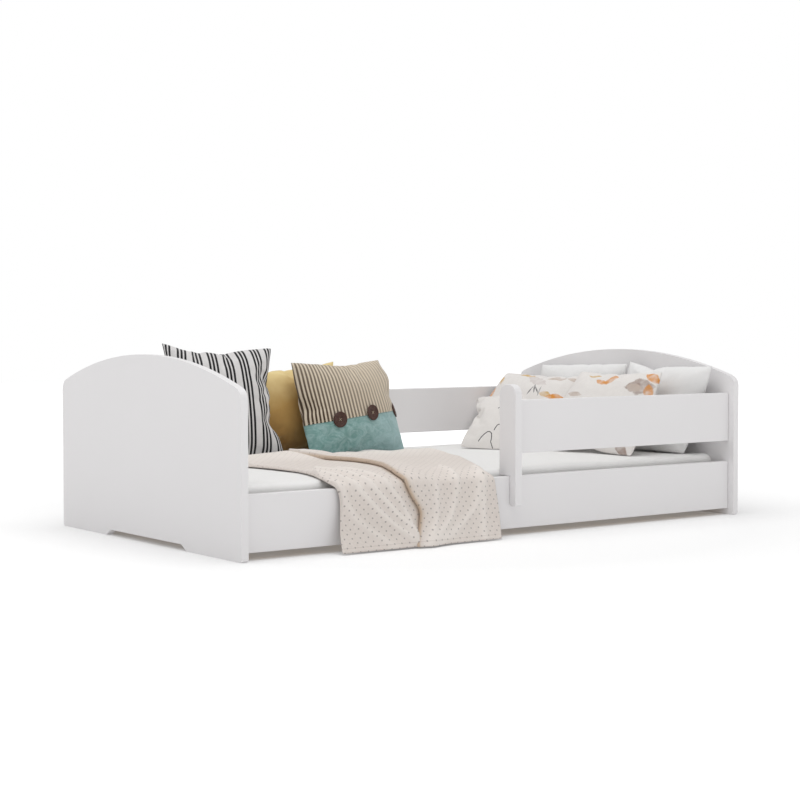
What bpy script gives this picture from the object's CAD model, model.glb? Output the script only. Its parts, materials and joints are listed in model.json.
"""The looks of a low toddler bed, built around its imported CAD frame, in metres and in the frame's axes."""

import json
import math

import bmesh
import bpy
import numpy as np
from mathutils import Matrix, Vector, noise

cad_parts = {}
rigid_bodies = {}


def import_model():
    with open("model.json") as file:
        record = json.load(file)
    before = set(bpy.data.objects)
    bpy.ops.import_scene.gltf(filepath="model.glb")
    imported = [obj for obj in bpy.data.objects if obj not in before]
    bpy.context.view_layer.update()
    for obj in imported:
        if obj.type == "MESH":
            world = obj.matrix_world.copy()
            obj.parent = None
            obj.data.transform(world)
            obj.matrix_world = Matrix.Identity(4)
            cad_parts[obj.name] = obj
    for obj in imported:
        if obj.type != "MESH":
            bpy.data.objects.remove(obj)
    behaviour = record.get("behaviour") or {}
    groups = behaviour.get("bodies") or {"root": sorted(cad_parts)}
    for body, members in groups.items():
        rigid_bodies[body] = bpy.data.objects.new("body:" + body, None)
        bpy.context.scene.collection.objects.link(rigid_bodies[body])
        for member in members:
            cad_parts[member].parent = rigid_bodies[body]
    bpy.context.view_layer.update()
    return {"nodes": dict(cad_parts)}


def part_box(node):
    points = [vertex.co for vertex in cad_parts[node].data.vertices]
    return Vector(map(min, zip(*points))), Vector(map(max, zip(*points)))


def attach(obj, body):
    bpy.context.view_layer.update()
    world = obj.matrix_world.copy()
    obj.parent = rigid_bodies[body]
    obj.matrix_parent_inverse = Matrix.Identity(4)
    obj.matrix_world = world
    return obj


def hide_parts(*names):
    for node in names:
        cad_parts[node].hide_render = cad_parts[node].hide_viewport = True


for leftover in list(bpy.data.objects):
    bpy.data.objects.remove(leftover)
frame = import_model()
nodes = frame["nodes"]
scene = bpy.context.scene

# The studio: a white floor in soft white light from above, so that the bed stands in a faint
# shadow of its own, and a long lens set low down, off the footboard's front corner.
scene.view_settings.view_transform = "Standard"

camera = bpy.data.objects.new("camera", bpy.data.cameras.new("camera"))
camera.location = (-2.7527, -3.5489, 0.5170)
camera.rotation_euler = (1.5278, 0.0024, -0.6229)
camera.data.lens = 74.05
camera.data.sensor_width = 36
camera.data.shift_x = 0.0604
camera.data.shift_y = 0.0030
scene.collection.objects.link(camera)
scene.camera = camera

world = bpy.data.worlds.new("studio")
world.use_nodes = True
backdrop = world.node_tree.nodes["Background"]
backdrop.inputs["Color"].default_value = (1, 1, 1, 1)
seen = world.node_tree.nodes.new("ShaderNodeLightPath").outputs["Is Camera Ray"]
brightness = world.node_tree.nodes.new("ShaderNodeMapRange")
world.node_tree.links.new(seen, brightness.inputs["Value"])
brightness.inputs["To Min"].default_value = 0.56  # what lights the bed
brightness.inputs["To Max"].default_value = 1.0  # what is seen behind it
world.node_tree.links.new(brightness.outputs[0], backdrop.inputs["Strength"])
scene.world = world

for light_name, light_place, light_size, light_watts in (
    ("softbox_above", (-0.5, -0.2, 3.2), 3.5, 62),
    ("softbox_front", (0.1, -3.9, 2.2), 2.5, 6),
):
    light = bpy.data.objects.new(light_name, bpy.data.lights.new(light_name, "AREA"))
    light.data.energy = light_watts
    light.data.size = light_size
    light.location = light_place
    light.rotation_euler = Vector(light_place).to_track_quat("Z", "Y").to_euler()
    scene.collection.objects.link(light)

floor_mesh = bpy.data.meshes.new("floor")
floor_half = 12
clear_floor, white_floor = 0.9, 3.2  # how far from the middle the shadow's floor turns plain white
floor_mesh.from_pydata(
    [(-floor_half, -floor_half, 0), (floor_half, -floor_half, 0),
     (floor_half, floor_half, 0), (-floor_half, floor_half, 0)],
    [], [(0, 1, 2, 3)],
)
floor_paint = bpy.data.materials.new("floor_paint")
floor_paint.use_nodes = True
floor_shader = floor_paint.node_tree.nodes["Principled BSDF"]
floor_shader.inputs["Base Color"].default_value = (0.84, 0.84, 0.84, 1)
floor_shader.inputs["Roughness"].default_value = 0.9
floor_shader.inputs["Specular IOR Level"].default_value = 0.0
floor_tree = floor_paint.node_tree
floor_place = floor_tree.nodes.new("ShaderNodeTexCoord").outputs["Object"]
floor_reach = floor_tree.nodes.new("ShaderNodeVectorMath")
floor_reach.operation = "LENGTH"
floor_tree.links.new(floor_place, floor_reach.inputs[0])
floor_glow = floor_tree.nodes.new("ShaderNodeMapRange")
floor_tree.links.new(floor_reach.outputs["Value"], floor_glow.inputs["Value"])
floor_glow.inputs["From Min"].default_value, floor_glow.inputs["From Max"].default_value = clear_floor, white_floor
floor_glow.inputs["To Min"].default_value, floor_glow.inputs["To Max"].default_value = 0.14, 0.7
floor_shader.inputs["Emission Color"].default_value = (1, 1, 1, 1)
floor_tree.links.new(floor_glow.outputs[0], floor_shader.inputs["Emission Strength"])
floor_mesh.materials.append(floor_paint)
floor = bpy.data.objects.new("floor", floor_mesh)
scene.collection.objects.link(floor)


# The boards: seven pieces of fibreboard with rounded edges, wrapped in a white matt foil.
# The foil has a very fine orange peel, and is a little duller where hands and feet pass.
def new_group(name, inputs, outputs):
    """A shader node group with named inputs (name, kind, default) and outputs (name, kind)."""
    group = bpy.data.node_groups.new(name, "ShaderNodeTree")
    for socket_name, kind, default in inputs:
        socket = group.interface.new_socket(socket_name, in_out="INPUT", socket_type=kind)
        if default is not None:
            socket.default_value = default
    for socket_name, kind in outputs:
        group.interface.new_socket(socket_name, in_out="OUTPUT", socket_type=kind)
    start = group.nodes.new("NodeGroupInput")
    end = group.nodes.new("NodeGroupOutput")
    return group, start.outputs, end.inputs


def add_node(tree, kind, settings=None, **inputs):
    """A node with its settings. Its inputs are given values or links by name, or by number as _0, _1 and so on."""
    node = tree.nodes.new(kind)
    for key, value in (settings or {}).items():
        setattr(node, key, value)
    for key, value in inputs.items():
        socket = node.inputs[int(key[1:]) if key[0] == "_" else key.replace("_", " ")]
        if isinstance(value, bpy.types.NodeSocket):
            tree.links.new(value, socket)
        else:
            socket.default_value = value
    return node


def mixed(tree, factor, first, second):
    """Two colours mixed by a factor."""
    node = add_node(tree, "ShaderNodeMix", {"data_type": "RGBA"}, _0=factor, _6=first, _7=second)
    return node.outputs[2]


def ramped(tree, value, low, high, first=0.0, last=1.0):
    """A value from first at low to last at high, kept between them."""
    node = add_node(tree, "ShaderNodeMapRange", {"clamp": True}, _0=value, _1=low, _2=high, _3=first, _4=last)
    return node.outputs[0]


def grouped(tree, group, **inputs):
    """A node group's outputs, with its inputs given."""
    return add_node(tree, "ShaderNodeGroup", {"node_tree": group}, **inputs).outputs


def give_bump(tree, shader, strength, distance, height):
    """Bump from a height, on the shader's normal."""
    bump = add_node(tree, "ShaderNodeBump", Strength=strength, Distance=distance, Height=height)
    tree.links.new(bump.outputs[0], shader.inputs["Normal"])


def give_colour(tree, shader, colour):
    tree.links.new(colour, shader.inputs["Base Color"])


def new_material(name, colour, roughness, metallic=0.0):
    """A plain material: (material, its tree, its shader)."""
    material = bpy.data.materials.new(name)
    material.use_nodes = True
    shader = material.node_tree.nodes["Principled BSDF"]
    shader.inputs["Base Color"].default_value = (*colour, 1)
    shader.inputs["Roughness"].default_value = roughness
    shader.inputs["Metallic"].default_value = metallic
    return material, material.node_tree, shader


def placed(tree):
    """Where a point is on the object, in metres."""
    return add_node(tree, "ShaderNodeTexCoord").outputs["Object"]


fine_grain, grain_in, grain_out = new_group(
    "fine_grain",
    [("Vector", "NodeSocketVector", None), ("Scale", "NodeSocketFloat", 400.0),
     ("Detail", "NodeSocketFloat", 2.0)],
    [("Height", "NodeSocketFloat"), ("Patches", "NodeSocketFloat")],
)
grain_fine = add_node(fine_grain, "ShaderNodeTexNoise", Vector=grain_in["Vector"], Scale=grain_in["Scale"],
                      Detail=grain_in["Detail"])
grain_patches = add_node(fine_grain, "ShaderNodeTexNoise", Vector=grain_in["Vector"], Scale=3.0, Detail=3.0)
fine_grain.links.new(grain_fine.outputs["Fac"], grain_out["Height"])
fine_grain.links.new(grain_patches.outputs["Fac"], grain_out["Patches"])

foil, foil_tree, foil_shader = new_material("white_foil", (0.80, 0.785, 0.79), 0.42)
foil_grain = grouped(foil_tree, fine_grain, Vector=placed(foil_tree), Scale=900.0)
foil_clean, foil_worn = (0.795, 0.780, 0.785, 1), (0.812, 0.798, 0.803, 1)
give_colour(foil_tree, foil_shader,
            mixed(foil_tree, ramped(foil_tree, foil_grain["Patches"], 0.3, 0.7), foil_clean, foil_worn))
foil_tree.links.new(ramped(foil_tree, foil_grain["Patches"], 0.2, 0.8, 0.38, 0.50), foil_shader.inputs["Roughness"])
give_bump(foil_tree, foil_shader, 0.12, 0.0002, foil_grain["Height"])


def dress(names, material):
    """Gives CAD nodes a finish."""
    for name in names:
        mesh = nodes[name].data
        mesh.materials.clear()
        mesh.materials.append(material)


dress(["footboard", "headboard", "guard_post", "front_side_rail", "back_side_rail", "front_guard_board",
       "back_guard_board"], foil)


# The fittings: turned and die-cast cams and bolts in bright zinc, and fluted beech dowels.
# All of them sit in bores, and only the cams' faces and the two post bolts' heads show.
zinc, zinc_tree, zinc_shader = new_material("bright_zinc", (0.62, 0.63, 0.64), 0.3, metallic=1.0)
zinc_grain = grouped(zinc_tree, fine_grain, Vector=placed(zinc_tree), Scale=700.0)
zinc_tree.links.new(ramped(zinc_tree, zinc_grain["Height"], 0.3, 0.7, 0.24, 0.42), zinc_shader.inputs["Roughness"])
give_bump(zinc_tree, zinc_shader, 0.3, 0.0002, zinc_grain["Height"])
dress([name for name in nodes if name.startswith(("cam_bolt", "cam_lock", "post_bolt"))], zinc)


def wood_material(name, pale, dark, along, scale):
    """Sawn wood, with its grain running along one axis."""
    material, tree, shader = new_material(name, pale, 0.7)
    stretch = [scale, scale, scale]
    longer_grain = 14
    stretch["XYZ".index(along)] = scale / longer_grain
    turned = add_node(tree, "ShaderNodeMapping", Vector=placed(tree), Scale=stretch)
    grain = add_node(tree, "ShaderNodeTexNoise", Vector=turned.outputs[0], Scale=1.0, Detail=6.0,
                     Distortion=0.6).outputs["Fac"]
    give_colour(tree, shader, mixed(tree, ramped(tree, grain, 0.35, 0.68), (*pale, 1), (*dark, 1)))
    give_bump(tree, shader, 0.35, 0.0006, grain)
    return material


beech = wood_material("beech", (0.58, 0.41, 0.26), (0.42, 0.27, 0.15), "X", 260)
dress([name for name in nodes if name.startswith("dowel")], beech)


# The slatted base: pine slats that lie across two pine cleats, held apart by two webbing
# straps, with two zinc staples through each strap into each slat. The mattress covers it.
pine_slats = wood_material("pine_slats", (0.66, 0.49, 0.30), (0.50, 0.32, 0.16), "Y", 90)
dress([name for name in nodes if name.startswith("slat_")], pine_slats)
pine_cleats = wood_material("pine_cleats", (0.64, 0.47, 0.28), (0.47, 0.30, 0.15), "X", 90)
dress(["front_slat_cleat", "back_slat_cleat"], pine_cleats)


def maths(tree, operation, *values):
    """The result of one sum on values or links."""
    inputs = {f"_{index}": value for index, value in enumerate(values)}
    return add_node(tree, "ShaderNodeMath", {"operation": operation}, **inputs).outputs[0]


weave, weave_in, weave_out = new_group(
    "weave",
    [("Vector", "NodeSocketVector", None), ("Threads", "NodeSocketFloat", 900.0),
     ("Slub", "NodeSocketFloat", 0.5)],
    [("Height", "NodeSocketFloat"), ("Tone", "NodeSocketFloat")],
)
weave_warp, weave_weft = (
    add_node(weave, "ShaderNodeTexWave", {"bands_direction": axis}, Vector=weave_in["Vector"],
             Scale=weave_in["Threads"], Distortion=weave_in["Slub"], Detail=2.0).outputs["Fac"]
    for axis in "XY"
)
weave_cross = maths(weave, "MAXIMUM", weave_warp, weave_weft)
weave_slub = add_node(weave, "ShaderNodeTexNoise", Vector=weave_in["Vector"], Scale=60.0, Detail=4.0)
weave.links.new(weave_cross, weave_out["Height"])
weave.links.new(maths(weave, "MULTIPLY", weave_cross, weave_slub.outputs["Fac"]), weave_out["Tone"])


webbing, webbing_tree, webbing_shader = new_material("grey_webbing", (0.30, 0.30, 0.31), 0.85)
webbing_weave = grouped(webbing_tree, weave, Vector=placed(webbing_tree), Threads=500.0)
give_bump(webbing_tree, webbing_shader, 0.6, 0.0006, webbing_weave["Height"])
give_colour(webbing_tree, webbing_shader,
            mixed(webbing_tree, webbing_weave["Tone"], (0.26, 0.26, 0.27, 1), (0.40, 0.40, 0.41, 1)))
dress(["front_slat_strap", "back_slat_strap"], webbing)

row_tree = bpy.data.node_groups.new("short_pieces_in_a_row", "GeometryNodeTree")
row_tree.interface.new_socket("Lines", in_out="INPUT", socket_type="NodeSocketGeometry")
for row_input, row_default in (("Step", 0.01), ("Along", 0.002), ("Across", 0.001), ("Thickness", 0.001)):
    row_socket = row_tree.interface.new_socket(row_input, in_out="INPUT", socket_type="NodeSocketFloat")
    row_socket.default_value = row_default
row_tree.interface.new_socket("Material", in_out="INPUT", socket_type="NodeSocketMaterial")
row_tree.interface.new_socket("Pieces", in_out="OUTPUT", socket_type="NodeSocketGeometry")
row_in = row_tree.nodes.new("NodeGroupInput").outputs
row_curve = add_node(row_tree, "GeometryNodeMeshToCurve", Mesh=row_in["Lines"])
row_even = add_node(row_tree, "GeometryNodeResampleCurve", {"mode": "LENGTH"}, Curve=row_curve.outputs[0],
                    Length=row_in["Step"])
row_tangent = add_node(row_tree, "GeometryNodeInputTangent").outputs[0]
row_turn = add_node(row_tree, "FunctionNodeAlignRotationToVector", {"axis": "X"}, Vector=row_tangent)
row_size = add_node(row_tree, "ShaderNodeCombineXYZ", X=row_in["Along"], Y=row_in["Across"],
                    Z=row_in["Thickness"])
row_blank = add_node(row_tree, "GeometryNodeMeshUVSphere", Segments=8, Rings=6, Radius=0.5)
row_laid = add_node(row_tree, "GeometryNodeInstanceOnPoints", Points=row_even.outputs[0],
                    Instance=row_blank.outputs[0], Rotation=row_turn.outputs[0], Scale=row_size.outputs[0])
row_real = add_node(row_tree, "GeometryNodeRealizeInstances", Geometry=row_laid.outputs[0])
row_painted = add_node(row_tree, "GeometryNodeSetMaterial", Geometry=row_real.outputs[0],
                       Material=row_in["Material"])
row_tree.links.new(row_painted.outputs[0], row_tree.nodes.new("NodeGroupOutput").inputs["Pieces"])


def laid_in_rows(name, lines, material, step, along, across, thickness):
    """A plain mesh of short rounded pieces, laid at even steps along lines of points."""
    edges, first = [], 0
    for line in lines:
        edges += [(first + index, first + index + 1) for index in range(len(line) - 1)]
        first += len(line)
    line_mesh = bpy.data.meshes.new(name + "_lines")
    line_mesh.from_pydata([point for line in lines for point in line], edges, [])
    carrier = bpy.data.objects.new(name + "_lines", line_mesh)
    scene.collection.objects.link(carrier)
    rows = carrier.modifiers.new("rows", "NODES")
    rows.node_group = row_tree
    sockets = {item.name: item.identifier for item in row_tree.interface.items_tree}
    for key, value in (("Step", step), ("Along", along), ("Across", across), ("Thickness", thickness),
                       ("Material", material)):
        rows[sockets[key]] = value
    mesh = bpy.data.meshes.new_from_object(carrier.evaluated_get(bpy.context.evaluated_depsgraph_get()))
    bpy.data.objects.remove(carrier)
    return mesh


def add_piece(name, mesh, material, body, replaced=()):
    """Links a finished mesh as a piece that rides on a body and stands for CAD nodes."""
    mesh.materials.clear()
    mesh.materials.append(material)
    mesh.shade_smooth()
    piece = bpy.data.objects.new(name, mesh)
    scene.collection.objects.link(piece)
    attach(piece, body)
    if replaced:
        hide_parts(*replaced)
    return piece


staple_off = 0.014  # from the slat's middle


def staple_lines():
    """Two lines along each strap's top, one on either side of the slats' middles, and the slats' pitch."""
    first, last = (sum(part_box(name), Vector()).x / 2 for name in ("slat_01", "slat_12"))
    lines = []
    for strap in ("front_slat_strap", "back_slat_strap"):
        low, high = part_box(strap)
        for off in (-staple_off, staple_off):
            lines.append([(x + off, (low.y + high.y) / 2, high.z) for x in (first, last)])
    return lines, abs(last - first) / 11


strap_lines, slat_pitch = staple_lines()
step_to_last = 0.999  # a hair under the pitch, so that the last slat gets its staple
staples = laid_in_rows("strap_staples", strap_lines, zinc, slat_pitch * step_to_last, 0.0013, 0.0105, 0.0007)
add_piece("strap_staples", staples, zinc, "bed_frame")


# The mattress: a foam block in a knitted cover, and a white jersey sheet stretched over it.
# The sheet's elastic hem pulls it under, and gathers it in small folds round the corners.
cover, cover_tree, cover_shader = new_material("knitted_cover", (0.80, 0.79, 0.75), 0.9)
cover_weave = grouped(cover_tree, weave, Vector=placed(cover_tree), Threads=350.0)
give_bump(cover_tree, cover_shader, 0.5, 0.0008, cover_weave["Height"])
give_colour(cover_tree, cover_shader,
            mixed(cover_tree, cover_weave["Tone"], (0.74, 0.72, 0.66, 1), (0.84, 0.83, 0.79, 1)))
dress(["mattress_core"], cover)


def cloth_material(name, threads, roughness=0.9, sheen=0.2, bump=0.3):
    """Woven cloth that a print is added to: (material, tree, shader, its own fabric map, its weave).

    A cloth whose own creases are added to the weave's height asks for no bump here.
    """
    material, tree, shader = new_material(name, (0.8, 0.8, 0.8), roughness)
    shader.inputs["Sheen Weight"].default_value = sheen
    shader.inputs["Sheen Roughness"].default_value = 0.5
    shader.inputs["Specular IOR Level"].default_value = 0.15
    fabric = add_node(tree, "ShaderNodeUVMap", {"uv_map": "fabric"}).outputs[0]
    woven = grouped(tree, weave, Vector=fabric, Threads=threads)
    if bump:
        give_bump(tree, shader, bump, 0.0004, woven["Height"])
    return material, tree, shader, fabric, woven


def set_fabric_map(mesh, pairs):
    """Writes the piece's own fabric map, in metres of cloth, from one (u, v) for each vertex."""
    layer = mesh.uv_layers.new(name="fabric")
    corner_vertices = np.zeros(len(mesh.loops), np.int32)
    mesh.loops.foreach_get("vertex_index", corner_vertices)
    layer.data.foreach_set("uv", np.asarray(pairs, np.float32)[corner_vertices].ravel())


def quarter(turn):
    """How far in, and how far up, a rounded edge has come at a share of its quarter turn."""
    return 1 - math.cos(turn * math.pi / 2), math.sin(turn * math.pi / 2)


def make_sheet_mesh():
    """Rings round the mattress, from the hem under its edge to the middle of its top."""
    low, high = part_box("fitted_sheet")
    middle = (low + high) / 2
    half_x, half_y = (high.x - low.x) / 2, (high.y - low.y) / 2
    corner, edge, side_foot = 0.042, 0.020, low.z + 0.015
    rings = []  # (how far in from the outline, height)
    for turn in np.linspace(-0.35, 0, 4):
        inset, rise = quarter(turn)
        rings.append((edge * inset, low.z + edge * (1 + rise) * 0.6))
    for height in np.linspace(0.2, 0.8, 6):
        rings.append((0.0, side_foot + (high.z - edge - side_foot) * height))
    for turn in np.linspace(0, 1, 7):
        inset, rise = quarter(turn)
        rings.append((edge * inset, high.z - edge * (1 - rise)))
    for inset in (0.026, 0.034, 0.045, 0.06, 0.08, 0.105, 0.14, 0.18, 0.225, 0.27, 0.31, 0.35, 0.385):
        rings.append((inset, high.z))
    long_steps, short_steps, corner_steps = 84, 42, 14
    outline = []  # (corner's side in x and y, direction from its middle, share of the straight run after it)
    for side_x, side_y, start in ((1, 1, 0), (-1, 1, 90), (-1, -1, 180), (1, -1, 270)):
        for step in range(corner_steps):
            angle = math.radians(start + 90 * step / corner_steps)
            outline.append((side_x, side_y, math.cos(angle), math.sin(angle), 0.0))
        run = long_steps if start in (0, 180) else short_steps
        for step in range(run):
            angle = math.radians(start + 90)
            outline.append((side_x, side_y, math.cos(angle), math.sin(angle), step / run))
    points = []
    for inset, z in rings:
        radius = max(corner - inset, 0.004)
        reach_x, reach_y = half_x - inset - radius, half_y - inset - radius
        for side_x, side_y, cosine, sine, share in outline:
            x, y = side_x * reach_x + radius * cosine, side_y * reach_y + radius * sine
            if side_x * side_y > 0:
                x -= side_x * 2 * reach_x * share
            else:
                y -= side_y * 2 * reach_y * share
            points.append((middle.x + x, middle.y + y, z))
    count = len(outline)
    faces = []
    for ring in range(len(rings) - 1):
        for index in range(count):
            here, after = ring * count + index, ring * count + (index + 1) % count
            faces.append((here, after, after + count, here + count))
    mesh = bpy.data.meshes.new("fitted_sheet_cloth")
    mesh.from_pydata(points, [], faces)
    bm = bmesh.new()
    bm.from_mesh(mesh)
    bm.verts.ensure_lookup_table()
    bmesh.ops.contextual_create(bm, geom=bm.verts[-count:])
    bmesh.ops.recalc_face_normals(bm, faces=bm.faces)
    bm.to_mesh(mesh)
    bm.free()
    return mesh, low, high


sheet_mesh, sheet_low, sheet_high = make_sheet_mesh()
deepest_hollow = -0.0008  # the cloth can't sink into the foam
for vertex in sheet_mesh.vertices:
    x, y, z = vertex.co
    from_front = y - sheet_low.y
    to_corner = math.hypot(abs(x) - sheet_high.x, min(from_front, sheet_high.y - y))
    gathers = 0.0022 * math.exp(-to_corner / 0.09) * math.sin(260 * (abs(x) + 0.4 * y))
    edge_folds = 0.0028 * math.exp(-(from_front / 0.07) ** 2) * noise.noise(Vector((x * 16, y * 5, z * 20)))
    wide_folds = 0.0018 * noise.noise(Vector((x * 5 + y * 3, y * 7, 2.0)))
    vertex.co += Vector(vertex.normal) * max(gathers + edge_folds + wide_folds, deepest_hollow)
side_pull = 0.35
set_fabric_map(sheet_mesh, [
    (v.co.x + side_pull * (v.co.z - sheet_high.z), v.co.y + v.co.z) for v in sheet_mesh.vertices
])
jersey, jersey_tree, jersey_shader, _, jersey_weave = cloth_material("white_jersey", 420.0, bump=0.12)
give_colour(jersey_tree, jersey_shader,
            mixed(jersey_tree, jersey_weave["Tone"], (0.80, 0.795, 0.785, 1), (0.86, 0.855, 0.845, 1)))
sheet_piece = add_piece("fitted_sheet_cloth", sheet_mesh, jersey, "mattress", ["fitted_sheet"])
sheet_thickness = sheet_piece.modifiers.new("thickness", "SOLIDIFY")
sheet_thickness.thickness = 0.0009
sheet_thickness.offset = -1


# The cushions: two square panels sewn together round the edge and stuffed, so that the sides
# pull in between the corners and small creases run in from the seams. Each stands on its
# lower edge, and leans on the guard, the headboard or the cushion behind it.
columns, rows = 48, 42  # of a panel's grid
stuffing_steps = 24
seam_sharpness = 0.75


def mesh_points(mesh):
    points = np.zeros(len(mesh.vertices) * 3)
    mesh.vertices.foreach_get("co", points)
    return points.reshape(-1, 3)


def blow_up(mesh, pressure, slack=0.04):
    """The panels' mesh once stuffing has pushed them apart from inside."""
    blown = bpy.data.objects.new(mesh.name + "_blown", mesh)
    scene.collection.objects.link(blown)
    cloth = blown.modifiers.new("stuffing", "CLOTH")
    settings = cloth.settings
    settings.quality = 5
    settings.mass = 0.12
    settings.tension_stiffness = settings.compression_stiffness = 12
    settings.shear_stiffness = 4
    settings.bending_stiffness = 0.08
    settings.use_pressure = True
    settings.uniform_pressure_force = pressure
    settings.shrink_min = -slack
    settings.effector_weights.gravity = 0
    cloth.point_cache.frame_start, cloth.point_cache.frame_end = 1, stuffing_steps
    for step in range(1, stuffing_steps + 1):
        scene.frame_set(step)
    settled = bpy.data.meshes.new_from_object(blown.evaluated_get(bpy.context.evaluated_depsgraph_get()))
    bpy.data.objects.remove(blown)
    scene.frame_set(1)
    return settled


def stuffed_mesh(name, size, pressure, seed, bow, plump):
    """Two flat panels with bowed edges, sewn together and blown up, then brought to the cushion's size.

    plump is how far a firm filling pushes the corners and edges out to a full, even shape.
    """
    width, height, thick = size
    noise.seed_set(seed)
    bm = bmesh.new()
    fabric = bm.loops.layers.uv.new("fabric")
    grid = {}
    for side in (-1, 1):
        for row in range(rows + 1):
            for column in range(columns + 1):
                on_rim = row in (0, rows) or column in (0, columns)
                if on_rim and side == 1:
                    grid[side, row, column] = grid[-1, row, column]
                    continue
                u, v = column / columns * 2 - 1, row / rows * 2 - 1
                bulge = 0.0 if on_rim else thick * 0.22 * ((1 - u * u) * (1 - v * v)) ** 0.5
                ripple = 0.0 if on_rim else 0.004 * noise.noise(Vector((u * 4, v * 4, side * 3 + seed)))
                place = (width / 2 * u * (1 + bow * (1 - v * v)), side * (bulge + ripple),
                         height / 2 * v * (1 + bow * (1 - u * u)))
                grid[side, row, column] = bm.verts.new(place)
    for side in (-1, 1):
        for row in range(rows):
            for column in range(columns):
                around = [(row, column), (row, column + 1), (row + 1, column + 1), (row + 1, column)]
                if side > 0:
                    around.reverse()
                face = bm.faces.new([grid[(side, *place)] for place in around])
                for loop, place in zip(face.loops, around):
                    loop[fabric].uv = (place[1] / columns * width, place[0] / rows * height)
    bm.verts.index_update()
    numbers = {key: vertex.index for key, vertex in grid.items()}
    seam = {numbers[key] for key in numbers if key[1] in (0, rows) or key[2] in (0, columns)}
    mesh = bpy.data.meshes.new(name)
    bm.to_mesh(mesh)
    bm.free()
    mesh = blow_up(mesh, pressure)
    points = mesh_points(mesh)
    low, high = points.min(0), points.max(0)
    points = (points - (low + high) / 2) / (high - low) * (width, thick, height)
    full = np.zeros_like(points)
    for (side, row, column), index in numbers.items():
        u, v = column / columns * 2 - 1, row / rows * 2 - 1
        crown = 0.0 if index in seam else thick / 2 * ((1 - u ** 4) * (1 - v ** 4)) ** 0.6
        full[index] = (width / 2 * u, side * crown, height / 2 * v)
    points = points * (1 - plump) + full * plump
    points[:, 2] += height / 2
    mesh.vertices.foreach_set("co", points.ravel())
    crease = mesh.attributes.new("crease_edge", "FLOAT", "EDGE")
    for edge in mesh.edges:
        if edge.vertices[0] in seam and edge.vertices[1] in seam:
            crease.data[edge.index].value = seam_sharpness
    mesh.update()
    return mesh


def warp(mesh, size, corners, tucks=()):
    """Pulls a cushion's corners (lower left, lower right, upper left, upper right) and tucks places in."""
    width, height, _ = size
    points = mesh_points(mesh)
    across = np.clip(points[:, :1] / width + 0.5, 0, 1)
    up = np.clip(points[:, 2:] / height, 0, 1)
    shares = ((1 - across) * (1 - up), across * (1 - up), (1 - across) * up, across * up)
    for pull, share in zip(corners, shares):
        points += share * np.array(pull)
    for place, reach, pull in tucks:
        far = np.hypot(points[:, 0] - place[0], points[:, 2] - place[1])[:, None]
        points += np.exp(-(far / reach) ** 2) * np.array(pull)
    mesh.vertices.foreach_set("co", points.ravel())
    mesh.update()


def stand(mesh, node, plain, yaw, lean, roll, sink=0.004, soft=0.006):
    """Turns a cushion, sets its plain shape where the CAD solid stands, and flattens what it rests on."""
    turn = (
        Matrix.Rotation(math.radians(yaw), 4, "Z")
        @ Matrix.Rotation(math.radians(-lean), 4, "X")
        @ Matrix.Rotation(math.radians(roll), 4, "Y")
    )
    plain = plain @ np.array(turn.to_3x3()).T
    low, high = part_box(node)
    middle = (low + high) / 2
    shift = np.array([middle.x, middle.y, 0]) - (plain.min(0) + plain.max(0)) / 2
    shift[2] = low.z - sink - plain[:, 2].min()
    mesh.transform(turn)
    points = mesh_points(mesh) + shift
    rest = low.z + 0.0006
    below = points[:, 2] < rest + soft
    points[below, 2] = rest + soft * np.exp((points[below, 2] - rest - soft) / soft)
    mesh.vertices.foreach_set("co", points.ravel())
    mesh.update()
    return turn


def add_cushion(name, node, size, place, material, pressure=3.0, seed=1, bow=0.06,
                plump=0.0, corners=(), tucks=(), shape=None):
    """A stuffed cover in place of a CAD cushion; place is its yaw, lean and roll in degrees."""
    mesh = stuffed_mesh(name, size, pressure, seed, bow, plump)
    plain = mesh_points(mesh)
    warp(mesh, size, corners or [(0, 0, 0)] * 4, tucks)
    if shape:
        shape(mesh, size)
    turn = stand(mesh, node, plain, *place)
    piece = add_piece(name, mesh, material, node, [node])
    finer = piece.modifiers.new("finer", "SUBSURF")
    finer.levels = finer.render_levels = 1
    return piece, turn


# The velvet cushion at the back: mustard pile that shows pale where it is brushed up and deep
# brown where it lies away, on a plain square cushion.
velvet, velvet_tree, velvet_shader, velvet_map, _ = cloth_material("mustard_velvet", 700.0, 0.75, 0.9, 0.15)
velvet_shader.inputs["Sheen Tint"].default_value = (1.0, 0.85, 0.5, 1)
velvet_up = add_node(velvet_tree, "ShaderNodeSeparateXYZ", Vector=velvet_map).outputs["Y"]
velvet_brush = add_node(velvet_tree, "ShaderNodeTexNoise", Vector=velvet_map, Scale=16.0, Detail=4.0)
brushed_up = 0.10  # how far the pile's patches move its shading, in metres up the cushion
velvet_height = maths(velvet_tree, "ADD", velvet_up,
                      maths(velvet_tree, "MULTIPLY", velvet_brush.outputs["Fac"], brushed_up))
velvet_ramp = add_node(velvet_tree, "ShaderNodeValToRGB", Fac=ramped(velvet_tree, velvet_height, 0.05, 0.31))
velvet_ramp.color_ramp.elements[0].color = (0.17, 0.070, 0.014, 1)
velvet_ramp.color_ramp.elements[1].color = (0.80, 0.64, 0.32, 1)
velvet_middle = velvet_ramp.color_ramp.elements.new(0.55)
velvet_middle.color = (0.50, 0.30, 0.095, 1)
give_colour(velvet_tree, velvet_shader, velvet_ramp.outputs["Color"])
add_cushion("mustard_cushion_cover", "mustard_cushion", (0.315, 0.262, 0.100), (0, 4, 0), velvet,
            seed=3, bow=0.02, plump=0.12,
            corners=((0, 0, 0), (0, 0, 0), (0, 0, -0.018), (0.002, 0, 0.006)))


# The striped cushion: off-white linen woven with groups of three narrow black stripes that run
# up and down, sewn shut, and leant back on the guard in the corner by the footboard.
def rest_of(tree, value):
    """One less the value."""
    return maths(tree, "SUBTRACT", 1.0, value)


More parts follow.
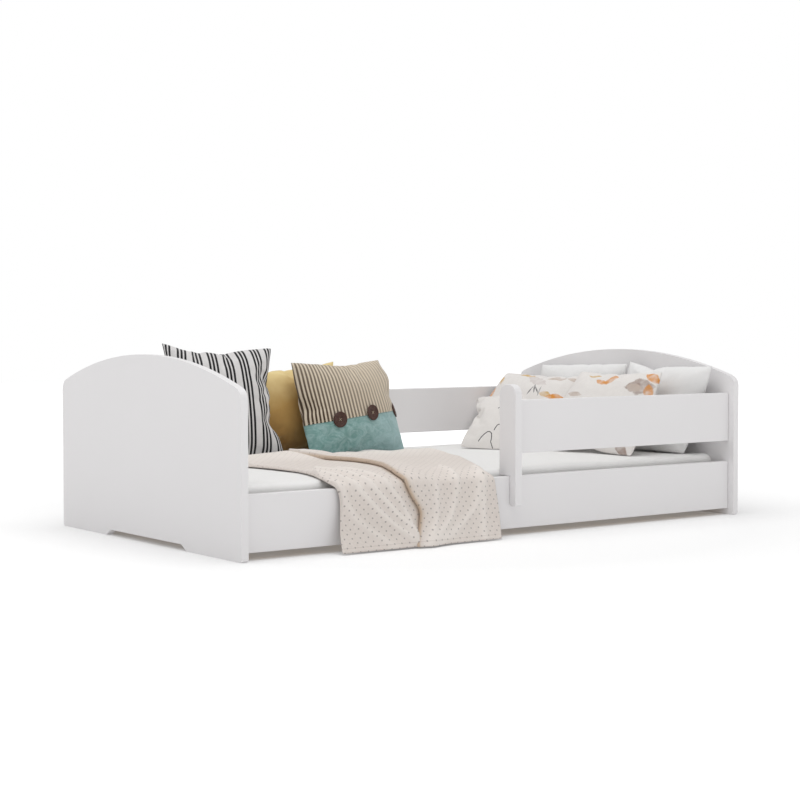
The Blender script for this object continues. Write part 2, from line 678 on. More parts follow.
stripe_group, stripe_pitch, stripe_wide, first_group = 0.0420, 0.0098, 0.0058, 0.010
linen, linen_tree, linen_shader, linen_map, linen_weave = cloth_material("striped_linen", 900.0, bump=0.35)
linen_across = add_node(linen_tree, "ShaderNodeSeparateXYZ", Vector=linen_map).outputs["X"]
linen_in_group = maths(linen_tree, "PINGPONG", maths(linen_tree, "SUBTRACT", linen_across, first_group),
                       stripe_group / 2)
linen_to_outer = maths(linen_tree, "ABSOLUTE", maths(linen_tree, "SUBTRACT", linen_in_group, stripe_pitch))
linen_to_stripe = maths(linen_tree, "MINIMUM", linen_in_group, linen_to_outer)
linen_stripes = rest_of(linen_tree, ramped(linen_tree, linen_to_stripe, stripe_wide / 2 - 0.0005,
                                           stripe_wide / 2 + 0.0005))
linen_ground = mixed(linen_tree, linen_weave["Tone"], (0.60, 0.585, 0.58, 1), (0.78, 0.765, 0.76, 1))
give_colour(linen_tree, linen_shader, mixed(linen_tree, linen_stripes, linen_ground, (0.012, 0.012, 0.014, 1)))
add_cushion("striped_cushion_cover", "striped_cushion", (0.315, 0.322, 0.090), (-15, 15, 1), linen,
            seed=5, bow=0.02, plump=0.15, pressure=4.0,
            corners=((0, 0, 0), (0.022, 0, 0.012), (0, 0, 0.008), (0.002, 0, 0.004)),
            tucks=(((0.160, 0.108), 0.024, (-0.018, 0, 0)), ((0.0, 0.322), 0.09, (0, 0, -0.008))))


# The ticking cushion: the upper part in cream and brown ticking, stitched in cream along its
# lap over a lower part in crushed teal cotton. Three turned wooden buttons hold the lap, each
# sewn on through four holes.
tick_pitch, lap_left, lap_rise = 0.0108, 0.088, 0.085
tick_size = (0.325, 0.264, 0.095)
tick, tick_tree, tick_shader, tick_map, tick_weave = cloth_material("ticking_and_teal", 900.0, bump=0)
tick_parts = add_node(tick_tree, "ShaderNodeSeparateXYZ", Vector=tick_map).outputs
tick_wave = maths(tick_tree, "PINGPONG", tick_parts["X"], tick_pitch / 2)
tick_dark = rest_of(tick_tree, ramped(tick_tree, tick_wave, tick_pitch * 0.22, tick_pitch * 0.30))
tick_slant = maths(tick_tree, "ADD", tick_parts["X"], maths(tick_tree, "MULTIPLY", tick_parts["Y"], 0.9))
tick_faded = ramped(tick_tree, tick_slant, 0.15, 0.44)  # the stripes are worn pale at the upper right
tick_line_colour = mixed(tick_tree, tick_faded, (0.085, 0.058, 0.038, 1), (0.49, 0.41, 0.32, 1))
tick_ground = mixed(tick_tree, tick_weave["Tone"], (0.66, 0.57, 0.44, 1), (0.80, 0.71, 0.58, 1))
tick_cloth = mixed(tick_tree, tick_dark, tick_ground, tick_line_colour)
teal_crush = add_node(tick_tree, "ShaderNodeTexNoise", Vector=tick_map, Scale=38.0, Detail=9.0, Roughness=0.62,
                      Distortion=1.8).outputs["Fac"]
teal_deep, teal_pale, teal_dusty = (0.195, 0.37, 0.345, 1), (0.39, 0.575, 0.57, 1), (0.42, 0.58, 0.60, 1)
teal_cloth = mixed(tick_tree, ramped(tick_tree, teal_crush, 0.38, 0.68), teal_deep, teal_pale)
teal_cloth = mixed(tick_tree, ramped(tick_tree, tick_parts["X"], 0.12, 0.42), teal_cloth, teal_dusty)
tick_line = maths(tick_tree, "ADD", maths(tick_tree, "MULTIPLY", tick_parts["X"], lap_rise), lap_left)
tick_above = maths(tick_tree, "SUBTRACT", tick_parts["Y"], tick_line)
tick_upper = ramped(tick_tree, tick_above, -0.0003, 0.0003)
tick_to_edge = maths(tick_tree, "ABSOLUTE", maths(tick_tree, "ADD", tick_above, 0.0012))
tick_shadow = rest_of(tick_tree, ramped(tick_tree, tick_to_edge, 0.0004, 0.0014))  # just under the lap's edge
give_colour(tick_tree, tick_shader,
            mixed(tick_tree, maths(tick_tree, "MULTIPLY", tick_shadow, 0.5),
                  mixed(tick_tree, tick_upper, teal_cloth, tick_cloth), (0.05, 0.09, 0.08, 1)))
tick_creases = maths(tick_tree, "MULTIPLY", teal_crush, rest_of(tick_tree, tick_upper))
crease_depth = 7.0  # against the weave's
give_bump(tick_tree, tick_shader, 0.45, 0.0009,
          maths(tick_tree, "ADD", tick_weave["Height"], maths(tick_tree, "MULTIPLY", tick_creases, crease_depth)))


def lap_ticking(mesh, size):
    """Lifts the upper part by its own thickness, and crumples the lower part."""
    width = size[0]
    for vertex in mesh.vertices:
        x, y, z = vertex.co
        line = lap_left + lap_rise * (x + width / 2)
        upper = 1 / (1 + math.exp(-(z - line) / 0.0015))
        crumple = 0.0042 * noise.noise(Vector((x * 34, z * 30, 4))) * (1 - upper) * min(z / 0.02, 1.0)
        outward = 1 if y > 0 else -1
        off_seam = min(1.0, abs(y) / 0.010)
        vertex.co.y += outward * off_seam * (0.0018 * upper + crumple)
    mesh.update()


ticking_piece, ticking_turn = add_cushion(
    "ticking_cushion_cover", "ticking_cushion", tick_size, (0, 13, 0), tick,
    seed=7, bow=0.05, plump=0.25,
    corners=((0.025, 0, -0.002), (0.033, 0, 0.008), (-0.001, 0, 0.012), (-0.020, 0, 0.014)),
    tucks=(((0.1525, 0.222), 0.034, (0.015, 0, 0)),),
    shape=lap_ticking,
)

button_wood, button_tree, button_shader = new_material("dark_button_wood", (0.06, 0.02, 0.012), 0.45)
button_grain = add_node(button_tree, "ShaderNodeTexNoise", Vector=placed(button_tree), Scale=260.0, Detail=5.0,
                        Distortion=1.5).outputs["Fac"]
give_colour(button_tree, button_shader,
            mixed(button_tree, ramped(button_tree, button_grain, 0.35, 0.7), (0.036, 0.012, 0.007, 1),
                  (0.092, 0.034, 0.021, 1)))
give_bump(button_tree, button_shader, 0.3, 0.0003, button_grain)
button_radius, button_thick, hole_circle = 0.0225, 0.005, 0.0045


def button_mesh(name, radius=button_radius, thick=button_thick, sides=48):
    """A turned disc with a raised rim, a dished middle and four sewing holes."""
    profile = ((0.0, 0.0), (0.80, 0.0), (0.97, 0.15), (1.0, 0.5), (0.95, 0.92), (0.84, 1.0), (0.72, 0.92),
               (0.62, 0.55), (0.0, 0.5))  # (share of the radius, share of the thickness)
    bm = bmesh.new()
    rings = []
    for share, level in profile:
        if share == 0.0:
            rings.append([bm.verts.new((0, 0, level * thick))])
            continue
        rings.append([
            bm.verts.new((share * radius * math.cos(2 * math.pi * side / sides),
                          share * radius * math.sin(2 * math.pi * side / sides), level * thick))
            for side in range(sides)
        ])
    for below, above in zip(rings, rings[1:]):
        for side in range(sides):
            after = (side + 1) % sides
            if len(below) == 1:
                bm.faces.new((below[0], above[after], above[side]))
            elif len(above) == 1:
                bm.faces.new((below[side], below[after], above[0]))
            else:
                bm.faces.new((below[side], below[after], above[after], above[side]))
    bmesh.ops.recalc_face_normals(bm, faces=bm.faces)
    mesh = bpy.data.meshes.new(name)
    bm.to_mesh(mesh)
    bm.free()
    blank = bpy.data.objects.new(name + "_blank", mesh)
    scene.collection.objects.link(blank)
    drill_bm = bmesh.new()
    for angle in (45, 135, 225, 315):
        place = Matrix.Rotation(math.radians(angle), 4, "Z") @ Matrix.Translation((hole_circle, 0, thick / 2))
        bmesh.ops.create_cone(drill_bm, cap_ends=True, segments=12, radius1=0.0016, radius2=0.0016,
                              depth=thick * 3, matrix=place)
    drill_mesh = bpy.data.meshes.new(name + "_drill")
    drill_bm.to_mesh(drill_mesh)
    drill_bm.free()
    drill = bpy.data.objects.new(name + "_drill", drill_mesh)
    scene.collection.objects.link(drill)
    cut = blank.modifiers.new("holes", "BOOLEAN")
    cut.object, cut.solver = drill, "EXACT"
    drilled = bpy.data.meshes.new_from_object(blank.evaluated_get(bpy.context.evaluated_depsgraph_get()))
    bpy.data.objects.remove(blank)
    bpy.data.objects.remove(drill)
    return drilled


def button_places():
    """Where the buttons sit on the lap line of the ticking cushion's front, and which way they face."""
    mesh = ticking_piece.data
    layer = mesh.uv_layers["fabric"].data
    found = []
    pull_round = 0.3  # the slack thread lets a button follow the cushion's side
    front = (ticking_turn.to_3x3() @ Vector((0, -1, 0))).normalized()
    for share in (0.300, 0.615, 0.972):
        across = share * tick_size[0]
        goal = Vector((across, lap_left + lap_rise * across + 0.001))
        best = min(
            (polygon for polygon in mesh.polygons if polygon.normal.dot(front) > -0.2),
            key=lambda polygon: (Vector(layer[polygon.loop_start].uv) - goal).length,
        )
        outward = (best.normal + Vector((pull_round * min(share, 0.7) ** 2, 0, 0))).normalized()
        found.append((best.center.copy(), outward))
    return found


thread, _, _ = new_material("cream_thread", (0.60, 0.50, 0.37), 0.8)
thread_level = 0.0028  # over the button's back, in its dished middle
button_crossings = []
for index, (centre, outward) in enumerate(button_places(), start=1):
    button = button_mesh(f"wooden_button_{index}")
    facing = outward.to_track_quat("Z", "Y").to_matrix().to_4x4()
    placing = Matrix.Translation(centre + outward * 0.0012) @ facing
    button.transform(placing)
    for angle in (math.radians(45), math.radians(135)):
        hole = Vector((math.cos(angle), math.sin(angle), 0)) * hole_circle
        button_crossings.append([placing @ (end * hole + Vector((0, 0, thread_level))) for end in (-1, 1)])
    add_piece(f"wooden_button_{index}", button, button_wood, "ticking_cushion")
button_threads = laid_in_rows("button_threads", button_crossings, thread, 0.0015, 0.0024, 0.0012, 0.0010)
add_piece("button_threads", button_threads, thread, "ticking_cushion")


def front_line(piece, size, points_on_cloth):
    """Points on the front panel of a cushion, from where they lie on its flat cloth."""
    finished = piece.evaluated_get(bpy.context.evaluated_depsgraph_get())
    vertices = piece.data.vertices
    line = []
    for u, v in points_on_cloth:
        column, row = u / size[0] * columns, v / size[1] * rows
        left, below = min(int(column), columns - 1), min(int(row), rows - 1)
        across, up = column - left, row - below
        first = below * (columns + 1) + left
        corners = [vertices[first + step].co for step in (0, 1, columns + 1, columns + 2)]
        lower = corners[0] * (1 - across) + corners[1] * across
        higher = corners[2] * (1 - across) + corners[3] * across
        _, on_cloth, outward, _ = finished.closest_point_on_mesh(lower * (1 - up) + higher * up)
        line.append(on_cloth + outward * 0.0003)
    return line


above_edge, off_side = 0.0042, 0.010
lap_stitches_at = [
    (u, lap_left + lap_rise * u + above_edge) for u in np.linspace(off_side, tick_size[0] - off_side, 120)
]
lap_line = front_line(ticking_piece, tick_size, lap_stitches_at)
lap_stitches = laid_in_rows("lap_stitches", [lap_line], thread, 0.0036, 0.0025, 0.0008, 0.0008)
add_piece("lap_stitches", lap_stitches, thread, "ticking_cushion")


# The two white pillows: plain cotton, softly filled and sewn shut, stood on their long edges
# against the headboard, one in front of the other.
cotton, cotton_tree, cotton_shader, _, cotton_weave = cloth_material("white_cotton", 800.0, bump=0.2)
give_colour(cotton_tree, cotton_shader,
            mixed(cotton_tree, cotton_weave["Tone"], (0.76, 0.755, 0.75, 1), (0.84, 0.835, 0.83, 1)))
add_cushion("white_pillow_back_cover", "white_pillow_back", (0.345, 0.257, 0.090), (-90, 8, 0), cotton,
            seed=11, bow=0.07, plump=0.6,
            corners=((-0.010, 0, 0), (0, 0, 0), (-0.028, 0, -0.006), (0.004, 0, 0.002)))
add_cushion("white_pillow_front_cover", "white_pillow_front", (0.320, 0.257, 0.090), (-90, 8, 0), cotton,
            seed=13, bow=0.06, plump=0.6,
            corners=((0, 0, 0), (-0.062, 0, 0), (0, 0, 0.009), (0.014, 0, 0.000)))


# The leaf pillows: off-white cotton printed with loose watercolour leaves in orange, sand and
# brown, softly filled, leant back on the white ones.
leaf, leaf_in, leaf_out = new_group(
    "painted_leaf",
    [("Vector", "NodeSocketVector", None), ("Centre", "NodeSocketVector", None),
     ("Turn", "NodeSocketFloat", 0.0), ("Length", "NodeSocketFloat", 0.03), ("Width", "NodeSocketFloat", 0.01)],
    [("Mask", "NodeSocketFloat")],
)
leaf_wobble = add_node(leaf, "ShaderNodeTexNoise", Vector=leaf_in["Vector"], Scale=55.0, Detail=3.0)
leaf_shift = add_node(leaf, "ShaderNodeVectorMath", {"operation": "SUBTRACT"}, _0=leaf_in["Vector"],
                      _1=leaf_in["Centre"])
leaf_turned = add_node(leaf, "ShaderNodeVectorRotate", {"rotation_type": "Z_AXIS"}, Vector=leaf_shift.outputs[0],
                       Angle=leaf_in["Turn"])
leaf_parts = add_node(leaf, "ShaderNodeSeparateXYZ", Vector=leaf_turned.outputs[0]).outputs
leaf_along = maths(leaf, "DIVIDE", leaf_parts["X"], leaf_in["Length"])
leaf_curve = maths(leaf, "SUBTRACT", 1.0, maths(leaf, "MULTIPLY", leaf_along, leaf_along))
leaf_across = maths(leaf, "DIVIDE", maths(leaf, "ABSOLUTE", leaf_parts["Y"]), leaf_in["Width"])
leaf_ragged = maths(leaf, "MULTIPLY", maths(leaf, "SUBTRACT", leaf_wobble.outputs["Fac"], 0.5), 0.9)
leaf_edge = maths(leaf, "ADD", maths(leaf, "SUBTRACT", leaf_curve, leaf_across), leaf_ragged)
leaf.links.new(ramped(leaf, leaf_edge, 0.0, 0.16), leaf_out["Mask"])


def leaf_material(name, leaves):
    """Off-white cotton with painted leaves (u, v, turn, length, width, colour)."""
    material, tree, shader, fabric, woven = cloth_material(name, 800.0, bump=0.2)
    colour = mixed(tree, woven["Tone"], (0.72, 0.69, 0.665, 1), (0.82, 0.79, 0.765, 1))
    wash = add_node(tree, "ShaderNodeTexNoise", Vector=fabric, Scale=40.0, Detail=4.0)
    for u, v, turn, length, width, paint in leaves:
        painted = grouped(tree, leaf, Vector=fabric, Centre=(u, v, 0), Turn=math.radians(turn), Length=length,
                          Width=width)
        strength = maths(tree, "MULTIPLY", painted["Mask"], ramped(tree, wash.outputs["Fac"], 0.15, 0.62))
        colour = mixed(tree, strength, colour, (*paint, 1))
    give_colour(tree, shader, colour)
    return material


orange, ochre, sand = (0.66, 0.27, 0.055), (0.60, 0.38, 0.13), (0.52, 0.43, 0.37)
brown, ink, mist = (0.36, 0.28, 0.245), (0.10, 0.10, 0.11), (0.62, 0.57, 0.55)
front_leaves = leaf_material("front_leaf_print", (
    (0.140, 0.208, 20, 0.030, 0.009, orange), (0.172, 0.216, -35, 0.026, 0.013, orange),
    (0.275, 0.203, -12, 0.046, 0.026, brown), (0.262, 0.196, 5, 0.026, 0.014, sand),
    (0.303, 0.238, 25, 0.030, 0.016, orange), (0.306, 0.192, 75, 0.026, 0.015, orange),
    (0.060, 0.170, 10, 0.040, 0.008, sand), (0.090, 0.236, 5, 0.030, 0.005, ochre),
    (0.130, 0.130, -30, 0.035, 0.014, ochre), (0.220, 0.110, 30, 0.030, 0.012, orange),
    (0.280, 0.070, 80, 0.030, 0.012, sand), (0.080, 0.060, 15, 0.035, 0.013, orange),
    (0.180, 0.040, -15, 0.030, 0.010, brown), (0.292, 0.016, 40, 0.030, 0.014, brown),
))
back_leaves = leaf_material("back_leaf_print", (
    (0.022, 0.158, 75, 0.030, 0.012, orange), (0.030, 0.206, 60, 0.022, 0.008, ochre),
    (0.110, 0.236, 4, 0.040, 0.007, ochre), (0.185, 0.178, 65, 0.022, 0.0024, ink),
    (0.196, 0.172, 45, 0.024, 0.0022, ink), (0.208, 0.168, 82, 0.020, 0.0022, ink),
    (0.176, 0.168, 100, 0.018, 0.0022, ink), (0.232, 0.160, 5, 0.022, 0.010, ochre),
    (0.262, 0.158, -10, 0.030, 0.010, orange), (0.290, 0.150, 12, 0.024, 0.007, brown),
    (0.235, 0.228, -8, 0.040, 0.010, sand), (0.300, 0.226, 8, 0.030, 0.008, sand),
    (0.170, 0.212, 20, 0.050, 0.018, mist), (0.090, 0.100, -30, 0.032, 0.012, orange),
    (0.200, 0.080, 20, 0.030, 0.012, sand), (0.270, 0.100, 60, 0.028, 0.010, brown),
))
add_cushion("leaf_pillow_back_cover", "leaf_pillow_back", (0.325, 0.250, 0.085), (-90, 30, 0), back_leaves,
            seed=17, bow=0.07, plump=0.3,
            corners=((-0.058, -0.042, 0), (0, 0, 0), (-0.040, -0.006, 0.002), (0, 0, 0)))
add_cushion("leaf_pillow_front_cover", "leaf_pillow_front", (0.325, 0.260, 0.085), (-90, 28, 0), front_leaves,
            seed=19, bow=0.07, plump=0.3,
            corners=((-0.040, -0.030, -0.008), (0, 0, 0), (-0.018, 0, 0.006), (-0.006, 0, 0.008)))


# The small cushion: off-white cotton printed with a few thin dark brush lines, tightly
# stuffed, leant on the leaf pillow behind it.
stroke, stroke_in, stroke_out = new_group(
    "brush_line",
    [("Vector", "NodeSocketVector", None), ("Centre", "NodeSocketVector", None),
     ("Radius", "NodeSocketFloat", 0.03), ("From", "NodeSocketFloat", -1.0), ("To", "NodeSocketFloat", 1.0),
     ("Wide", "NodeSocketFloat", 0.0012)],
    [("Mask", "NodeSocketFloat")],
)
stroke_shift = add_node(stroke, "ShaderNodeVectorMath", {"operation": "SUBTRACT"}, _0=stroke_in["Vector"],
                        _1=stroke_in["Centre"])
stroke_parts = add_node(stroke, "ShaderNodeSeparateXYZ", Vector=stroke_shift.outputs[0]).outputs
stroke_far = add_node(stroke, "ShaderNodeVectorMath", {"operation": "LENGTH"},
                      _0=stroke_shift.outputs[0]).outputs["Value"]
stroke_off = maths(stroke, "ABSOLUTE", maths(stroke, "SUBTRACT", stroke_far, stroke_in["Radius"]))
stroke_line = maths(stroke, "LESS_THAN", stroke_off, stroke_in["Wide"])
stroke_angle = maths(stroke, "ARCTAN2", stroke_parts["Y"], stroke_parts["X"])
stroke_span = maths(stroke, "MULTIPLY", maths(stroke, "GREATER_THAN", stroke_angle, stroke_in["From"]),
                    maths(stroke, "LESS_THAN", stroke_angle, stroke_in["To"]))
stroke.links.new(maths(stroke, "MULTIPLY", stroke_line, stroke_span), stroke_out["Mask"])

sketch, sketch_tree, sketch_shader, sketch_map, sketch_weave = cloth_material(
    "line_drawing_cotton", 800.0, bump=0.2)
sketch_colour = mixed(sketch_tree, sketch_weave["Tone"], (0.70, 0.67, 0.645, 1), (0.79, 0.765, 0.74, 1))


def arc_between(start, end, sag):
    """Centre, radius and the two angles of the arc that bulges left of start to end by sag."""
    chord = Vector(end) - Vector(start)
    half = chord.length / 2
    radius = (half * half + sag * sag) / (2 * sag)
    leftward = Vector((-chord.y, chord.x)).normalized()
    centre = (Vector(start) + Vector(end)) / 2 + leftward * (sag - radius)
    angles = sorted(math.atan2(point[1] - centre.y, point[0] - centre.x) for point in (start, end))
    return centre, radius, angles


for start, end, sag in (
    ((0.062, 0.026), (0.082, 0.054), 0.0016), ((0.082, 0.054), (0.0985, 0.048), 0.0062),
    ((0.0985, 0.048), (0.0980, 0.028), 0.0012), ((0.0980, 0.028), (0.106, 0.004), 0.0008),
    ((0.103, 0.062), (0.110, 0.078), 0.0010), ((0.110, 0.078), (0.128, 0.076), 0.0030),
    ((0.098, 0.128), (0.103, 0.132), 0.0008), ((0.140, 0.120), (0.170, 0.150), 0.0060),
    ((0.150, 0.090), (0.185, 0.080), 0.0050),
):
    centre, radius, (angle_from, angle_to) = arc_between(start, end, sag)
    line = grouped(sketch_tree, stroke, Vector=sketch_map, Centre=(*centre, 0), Radius=radius, From=angle_from,
                   To=angle_to)
    sketch_colour = mixed(sketch_tree, line["Mask"], sketch_colour, (0.035, 0.035, 0.045, 1))
give_colour(sketch_tree, sketch_shader, sketch_colour)
add_cushion("sketch_cushion_cover", "sketch_cushion", (0.225, 0.210, 0.065), (-60, 44, 0), sketch,
            seed=23, bow=0.09,
            corners=((0, 0, 0), (0, 0, 0), (0, 0, 0.014), (0, 0, 0)))


# The throw: a double cotton gauze, folded over once at its left side and once along a slanting
# pleat, laid across the mattress, and hanging over the front rail almost to the floor.
lie = 0.1695  # the height of the cloth's underside on the mattress
throw_path = np.array([
    (0.150, lie), (0.050, lie), (-0.100, lie), (-0.250, lie), (-0.340, lie - 0.0003), (-0.375, 0.1675),
    (-0.402, 0.1607), (-0.4190, 0.1525), (-0.4235, 0.1400), (-0.4262, 0.1100), (-0.4320, 0.0750),
    (-0.4420, 0.0400), (-0.4640, 0.0045),
])  # (y, z), from the back to the hem


def smooth_line(points, count):
    """Evenly spaced points on a smooth curve through the given ones."""
    padded = np.vstack((2 * points[0] - points[1], points, 2 * points[-1] - points[-2]))
    fine = []
    for index in range(len(points) - 1):
        p0, p1, p2, p3 = padded[index:index + 4]
        for share in np.linspace(0, 1, 24, endpoint=False):
            fine.append(0.5 * (2 * p1 + (p2 - p0) * share + (2 * p0 - 5 * p1 + 4 * p2 - p3) * share**2
                               + (3 * p1 - p0 - 3 * p2 + p3) * share**3))
    fine.append(points[-1])
    fine = np.array(fine)
    run = np.concatenate(([0], np.cumsum(np.linalg.norm(np.diff(fine, axis=0), axis=1))))
    even = np.linspace(0, run[-1], count)
    return np.column_stack([np.interp(even, run, fine[:, axis]) for axis in range(fine.shape[1])]), even


def bulge_along(x, run, line, high, wide):
    """The height of a soft ridge that follows a line given in x and in distance from the hem."""
    best = np.full(x.shape, 9.0)
    for (x0, r0), (x1, r1) in zip(line, line[1:]):
        ahead = (x - x0) * (x1 - x0) + (run - r0) * (r1 - r0)
        along = np.clip(ahead / ((x1 - x0) ** 2 + (r1 - r0) ** 2), 0, 1)
        off = np.hypot(x - x0 - along * (x1 - x0), run - r0 - along * (r1 - r0))
        best = np.minimum(best, off)
    return high * (0.65 * np.exp(-(best / wide) ** 2) + 0.35 * np.exp(-(best / (2.8 * wide)) ** 2))


def turned_edge(x, low, high, side, count):
    """The cloth's half turn at a fold, from one level up to the next, bulging to one side."""
    bend = (high - low) / 2
    turn = [math.radians(angle) for angle in np.linspace(-80, 80, count)]
    return [(x + side * bend * math.cos(angle), low + bend + bend * math.sin(angle), 0) for angle in turn]


# Each ridge: (its line as (x, distance from the hem), height, width).
lower_ridges = (
    (((-0.330, 0.0), (-0.386, 0.045), (-0.426, 0.08), (-0.456, 0.11), (-0.500, 0.155), (-0.530, 0.21),
      (-0.535, 0.32)), 0.0100, 0.0072),
    (((-0.345, 0.03), (-0.371, 0.067), (-0.396, 0.092), (-0.418, 0.116), (-0.452, 0.15), (-0.475, 0.20),
      (-0.470, 0.36)), 0.0100, 0.0072),
    (((-0.407, 0.0), (-0.474, 0.048), (-0.510, 0.082), (-0.530, 0.115), (-0.548, 0.17)), 0.0070, 0.0085),
    (((-0.340, 0.0), (-0.352, 0.07), (-0.372, 0.11), (-0.405, 0.15), (-0.430, 0.21), (-0.420, 0.34)),
     0.0085, 0.0072),
)
upper_ridges = (
    (((-0.318, 0.0), (-0.300, 0.03), (-0.285, 0.05), (-0.272, 0.09), (-0.262, 0.14)), 0.0085, 0.0070),
    (((-0.318, 0.0), (-0.260, 0.037), (-0.229, 0.063), (-0.205, 0.105), (-0.190, 0.16), (-0.160, 0.26)),
     0.0095, 0.0085),
    (((-0.318, 0.0), (-0.232, 0.022), (-0.178, 0.058), (-0.143, 0.085), (-0.120, 0.14), (-0.080, 0.22)),
     0.0085, 0.0095),
    (((-0.138, 0.0), (-0.124, 0.055), (-0.116, 0.10), (-0.108, 0.17)), 0.0085, 0.0095),
)


def throw_outline(run):
    """x of the left fold, of the pleat and of the right edge at each distance from the hem."""
    left = np.interp(
        run, (0, 0.045, 0.093, 0.117, 0.137, 0.155, 0.180, 0.214, 0.28, 0.343, 0.407, 0.50, 0.602, 0.73),
        (-0.566, -0.556, -0.548, -0.546, -0.547, -0.553, -0.564, -0.561, -0.532, -0.511, -0.497, -0.495,
         -0.507, -0.56))
    pleat = np.interp(
        run, (0, 0.045, 0.083, 0.095, 0.108, 0.14, 0.16, 0.185, 0.214, 0.323, 0.419, 0.504, 0.586, 0.68, 0.73),
        (-0.352, -0.329, -0.318, -0.321, -0.330, -0.349, -0.357, -0.361, -0.352, -0.296, -0.264, -0.256,
         -0.274, -0.285, -0.31))
    right = np.interp(
        run, (0, 0.02, 0.05, 0.09, 0.117, 0.14, 0.17, 0.20, 0.221, 0.37, 0.563, 0.649, 0.73),
        (-0.085, -0.076, -0.066, -0.064, -0.066, -0.068, -0.073, -0.072, -0.056, 0.036, 0.150, 0.180, 0.195))
    kernel = np.ones(7) / 7
    return [np.convolve(np.pad(line, 3, mode="edge"), kernel, mode="valid") for line in (left, pleat, right)]


def make_throw():
    """A strip of sections across the throw, each folded in three, from its back to its hem."""
    rows = 190
    path, run_down = smooth_line(throw_path, rows)
    run = run_down[-1] - run_down  # distance from the hem
    slope = np.gradient(path, axis=0)
    slope /= np.linalg.norm(slope, axis=1)[:, None]
    normals = np.column_stack((slope[:, 1], -slope[:, 0]))
    left, pleat, right = throw_outline(run)
    lying = np.clip((run - 0.15) / 0.10, 0, 1)
    ground = 0.0012  # a single layer, on the mattress
    level = 0.0044 + 0.0018 * lying  # the lower layer, over its own turned-in edge
    middle = level + 0.0036
    upper = middle + 0.0075 + 0.0015 * lying
    turned_in, under = 0.055, 0.065  # how far the left edge and the pleat run back
    points, cloth, tones = [], [], []
    for row in range(rows):
        xl, xp, xr = left[row] + 0.003, pleat[row] + 0.003, right[row]
        xu = pleat[row] + under - 0.002
        section = [(x, ground, 0) for x in np.linspace(left[row] + turned_in, xl, 10)]  # (x, height, layer)
        section += turned_edge(xl, ground, level[row], -1, 7)
        section += [(x, level[row], 1) for x in np.linspace(xl, xu, 74)]
        section += turned_edge(xu, level[row], middle[row], 1, 5)
        section += [(x, middle[row], 0) for x in np.linspace(xu, xp, 14)]
        section += turned_edge(xp, middle[row], upper[row], -1, 9)
        for x in np.linspace(xp, xr, 104):
            drop = np.clip((x - pleat[row] - under * 0.6) / 0.085, 0, 1)
            drop = drop * drop * (3 - 2 * drop)
            section.append((x, upper[row] * (1 - drop) + ground * drop, 2))
        x, high, layer = np.array(section).T
        along = np.concatenate(([0], np.cumsum(np.hypot(np.diff(x), np.diff(high)))))
        u = pleat[row] + along - along[np.argmax(layer == 2)]
        far = np.full(x.shape, run[row])
        lower, top = layer == 1, layer == 2
        extra = np.zeros(x.shape)
        for which, ridges in ((lower, lower_ridges), (top, upper_ridges)):
            for line, high_ridge, wide in ridges:
                extra[which] += bulge_along(x[which], far[which], line, high_ridge, wide)
        bunched = np.clip((run[row] - 0.60) / 0.15, 0, 1)  # towards the back
        for index in np.flatnonzero(lower | top):
            spot = Vector((x[index] * 9, run[row] * 6, 3.0 + 5 * top[index]))
            soft, fine = noise.noise(spot), noise.noise(spot * 4.3)
            extra[index] += lying[row] * (0.0012 + 0.0016 * soft) + 0.0005 * fine
            heap = 0.009 * lower[index] * min(max((x[index] + 0.50) / 0.12, -0.6), 1)
            rumple = 0.007 * noise.noise(Vector((x[index] * 14, 7.0, run[row] * 8)))
            extra[index] += bunched * (0.012 + heap + rumple)
        edge = np.ones(x.shape)
        edge[top] = np.clip((xr - x[top]) / 0.012, 0.15, 1)
        high = high + extra * edge * np.clip(0.35 + run[row] / 0.05, 0, 1)
        swing = np.interp(run[row], (0, 0.12), (1, 0)) * 0.003 * np.clip((x + 0.36) / 0.10, 0, 1)
        y = path[row, 0] + normals[row, 0] * high - swing
        z = path[row, 1] + normals[row, 1] * high * min(run[row] / 0.05, 1)
        points.append(np.column_stack((x, y, z)))
        cloth.append(np.column_stack((u, far)))
        before = pleat[row] - x
        in_fold = np.exp(-np.abs(before) / 0.006) * (layer != 1)
        in_fold += 0.8 * np.exp(-np.clip(before, 0, 1) / 0.007) * lower
        in_fold[x > pleat[row] + 0.04] = 0
        tones.append(0.5 + 0.5 * np.clip(extra / 0.010, 0, 1) - 0.5 * in_fold)
    count = len(section)
    points = np.vstack(points)
    points[:, 2] = np.maximum(points[:, 2], 0.0022)  # clear of the floor
    faces = []
    for row in range(rows - 1):
        for column in range(count - 1):
            here = row * count + column
            faces.append((here, here + 1, here + count + 1, here + count))
    mesh = bpy.data.meshes.new("throw_cloth")
    mesh.from_pydata(points.tolist(), [], faces)
    set_fabric_map(mesh, np.vstack(cloth))
    tone_layer = mesh.attributes.new("fold_tone", "FLOAT", "POINT")
    tone_layer.data.foreach_set("value", np.concatenate(tones).astype(np.float32))
    return mesh


throw_mesh = make_throw()
gauze, gauze_tree, gauze_shader, gauze_map, gauze_weave = cloth_material("dotted_gauze", 520.0, bump=0)
dot_spacing, dot_radius = 0.0226, 0.0019
dot_parts = add_node(gauze_tree, "ShaderNodeSeparateXYZ", Vector=gauze_map).outputs


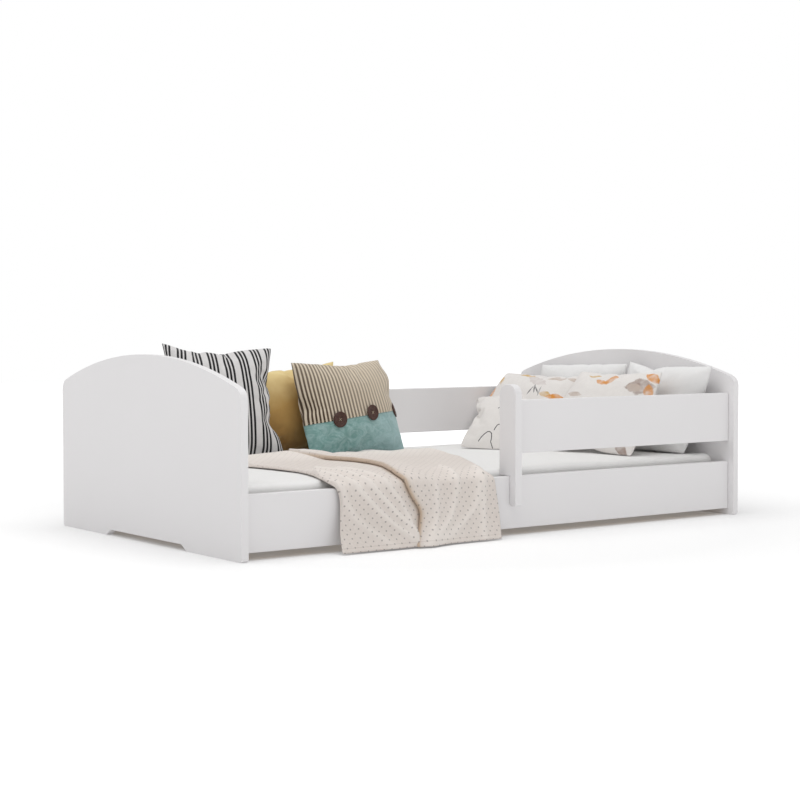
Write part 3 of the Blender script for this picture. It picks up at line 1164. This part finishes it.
def dots(tree, parts, shift):
    """Round dots on a square grid, moved by a share of its spacing."""
    off = []
    above_zero = 60 * dot_spacing  # keeps what the grid is cut from positive all over the cloth
    for axis in ("X", "Y"):
        moved = maths(tree, "ADD", parts[axis], dot_spacing * shift + above_zero)
        from_dot = maths(tree, "SUBTRACT", maths(tree, "MODULO", moved, dot_spacing), dot_spacing / 2)
        off.append(maths(tree, "MULTIPLY", from_dot, from_dot))
    far = maths(tree, "SQRT", maths(tree, "ADD", *off))
    return rest_of(tree, ramped(tree, far, dot_radius - 0.0005, dot_radius + 0.0007))


dot_mask = maths(gauze_tree, "MAXIMUM", dots(gauze_tree, dot_parts, 0.0), dots(gauze_tree, dot_parts, 0.5))
gauze_crinkle = add_node(gauze_tree, "ShaderNodeTexNoise", Vector=gauze_map, Scale=160.0, Detail=3.0).outputs["Fac"]
gauze_even = mixed(gauze_tree, gauze_crinkle, (0.70, 0.630, 0.575, 1), (0.84, 0.775, 0.730, 1))
gauze_fold = add_node(gauze_tree, "ShaderNodeAttribute", {"attribute_name": "fold_tone"}).outputs["Fac"]
gauze_deep = mixed(gauze_tree, ramped(gauze_tree, gauze_fold, 0.0, 0.5), (0.56, 0.43, 0.32, 1), gauze_even)
gauze_ground = mixed(gauze_tree, ramped(gauze_tree, gauze_fold, 0.5, 1.0), gauze_deep, (0.86, 0.80, 0.75, 1))
dot_fresh, dot_worn = 0.56, 0.30  # how strong the print is at the hem, and how much of that is worn off above
dot_wear = maths(gauze_tree, "MULTIPLY", ramped(gauze_tree, dot_parts["Y"], 0.17, 0.30), dot_worn)
dot_strength = maths(gauze_tree, "MULTIPLY", dot_mask, maths(gauze_tree, "SUBTRACT", dot_fresh, dot_wear))
gauze_print = mixed(gauze_tree, dot_strength, gauze_ground, (0.155, 0.125, 0.120, 1))
hem_off = maths(gauze_tree, "ABSOLUTE", maths(gauze_tree, "SUBTRACT", dot_parts["Y"], 0.011))
hem_stitch = maths(gauze_tree, "MULTIPLY", rest_of(gauze_tree, ramped(gauze_tree, hem_off, 0.0003, 0.0011)), 0.25)
give_colour(gauze_tree, gauze_shader, mixed(gauze_tree, hem_stitch, gauze_print, (0.42, 0.34, 0.28, 1)))
give_bump(gauze_tree, gauze_shader, 0.4, 0.0008,
          maths(gauze_tree, "ADD", maths(gauze_tree, "MULTIPLY", gauze_crinkle, 2.0), gauze_weave["Height"]))
throw_piece = add_piece("throw_cloth", throw_mesh, gauze, "throw", ["throw_blanket"])
throw_thickness = throw_piece.modifiers.new("thickness", "SOLIDIFY")
throw_thickness.thickness = 0.0016
throw_thickness.offset = 0
